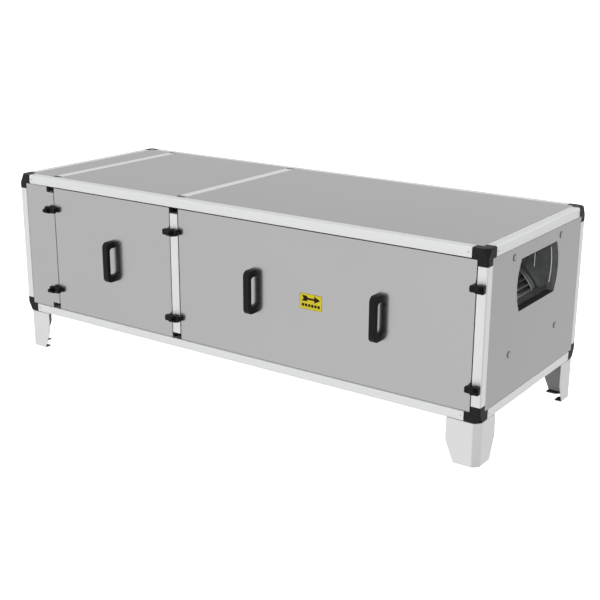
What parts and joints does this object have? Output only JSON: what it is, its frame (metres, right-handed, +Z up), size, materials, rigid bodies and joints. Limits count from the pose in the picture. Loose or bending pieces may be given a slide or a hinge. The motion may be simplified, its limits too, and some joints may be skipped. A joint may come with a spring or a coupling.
{
  "type": "air filtration unit",
  "caption": "Floor-standing duct air filtration unit: aluminium-framed grey panel casing on legs, lift-off access doors, pleated filter and centrifugal fan with end outlet.",
  "frame": {"origin": "on the floor, under the middle of the unit's outer box, handles included", "axes": "+X along the unit from the intake end to the outlet end, -Y out of the access side, +Z up"},
  "size_m": [1.83, 0.7273, 0.6406],
  "materials": {
    "frame_profile": "satin anodised",
    "corner_plastic": "fine moulded grain",
    "panel_coating": "satin metallic grey coating",
    "fitting_plastic": "semi-matt moulded",
    "leg_sheet": "light grey coated sheet",
    "galvanised_sheet": "galvanised",
    "motor_paint": "dark enamel",
    "filter_media": "pleated non-woven"
  },
  "bodies": {
    "unit": {"rail_front_bottom": "frame_profile", "rail_back_bottom": "frame_profile", "rail_left_bottom": "frame_profile", "rail_right_bottom": "frame_profile", "rail_front_top": "frame_profile", "rail_back_top": "frame_profile", "rail_left_top": "frame_profile", "rail_right_top": "frame_profile", "post_front_left": "frame_profile", "corner_front_left_bottom": "corner_plastic", "corner_front_left_top": "corner_plastic", "post_front_right": "frame_profile", "corner_front_right_bottom": "corner_plastic", "corner_front_right_top": "corner_plastic", "post_back_left": "frame_profile", "corner_back_left_bottom": "corner_plastic", "corner_back_left_top": "corner_plastic", "post_back_right": "frame_profile", "corner_back_right_bottom": "corner_plastic", "corner_back_right_top": "corner_plastic", "mullion_front_1": "frame_profile", "mullion_back_1": "frame_profile", "crossbar_top_1": "frame_profile", "mullion_front_2": "frame_profile", "mullion_back_2": "frame_profile", "crossbar_top_2": "frame_profile", "panel_front_inlet": "panel_coating", "door_filter": "panel_coating", "door_fan": "panel_coating", "panel_back_inlet": "panel_coating", "panel_top_inlet": "panel_coating", "panel_back_filter": "panel_coating", "panel_top_filter": "panel_coating", "panel_back_fan": "panel_coating", "panel_top_fan": "panel_coating", "panel_bottom": "panel_coating", "inlet_panel": "panel_coating", "outlet_panel": "panel_coating", "handle_filter": "fitting_plastic", "handle_fan_left": "fitting_plastic", "handle_fan_right": "fitting_plastic", "leg_front_left": "leg_sheet", "leg_front_right": "leg_sheet", "leg_back_right": "leg_sheet", "leg_back_left": "leg_sheet", "fan_housing": "galvanised_sheet", "fan_motor": "motor_paint", "filter_guide_bottom": "galvanised_sheet", "filter_guide_top": "galvanised_sheet", "filter_frame": "galvanised_sheet", "filter_media": "filter_media"},
    "wheel": {"fan_wheel": "galvanised_sheet"},
    "turn_clamp_left_lower": {"clamp_left_lower": "fitting_plastic"},
    "turn_clamp_left_upper": {"clamp_left_upper": "fitting_plastic"},
    "turn_clamp_middle_lower": {"clamp_middle_lower": "fitting_plastic"},
    "turn_clamp_middle_upper": {"clamp_middle_upper": "fitting_plastic"},
    "turn_clamp_right_lower": {"clamp_right_lower": "fitting_plastic"},
    "turn_clamp_right_upper": {"clamp_right_upper": "fitting_plastic"}
  },
  "joints": [
    {"name": "fan_spin", "type": "hinge", "parent": "unit", "child": "wheel", "pos_m": [0.72365, 0.0185, 0.34849], "axis": [0, 1, 0], "continuous": true},
    {"name": "clamp_left_lower_turn", "type": "hinge", "parent": "unit", "child": "turn_clamp_left_lower", "pos_m": [-0.765, -0.3265, 0.2393], "axis": [0, -1, 0], "range_deg": [0, 90]},
    {"name": "clamp_left_upper_turn", "type": "hinge", "parent": "unit", "child": "turn_clamp_left_upper", "pos_m": [-0.765, -0.3265, 0.5303], "axis": [0, -1, 0], "range_deg": [0, 90]},
    {"name": "clamp_middle_lower_turn", "type": "hinge", "parent": "unit", "child": "turn_clamp_middle_lower", "pos_m": [-0.195, -0.3265, 0.2393], "axis": [0, -1, 0], "range_deg": [0, 90]},
    {"name": "clamp_middle_upper_turn", "type": "hinge", "parent": "unit", "child": "turn_clamp_middle_upper", "pos_m": [-0.195, -0.3265, 0.5303], "axis": [0, -1, 0], "range_deg": [0, 90]},
    {"name": "clamp_right_lower_turn", "type": "hinge", "parent": "unit", "child": "turn_clamp_right_lower", "pos_m": [0.9, -0.3265, 0.2393], "axis": [0, -1, 0], "range_deg": [0, 90]},
    {"name": "clamp_right_upper_turn", "type": "hinge", "parent": "unit", "child": "turn_clamp_right_upper", "pos_m": [0.9, -0.3265, 0.5303], "axis": [0, -1, 0], "range_deg": [0, 90]}
  ]
}
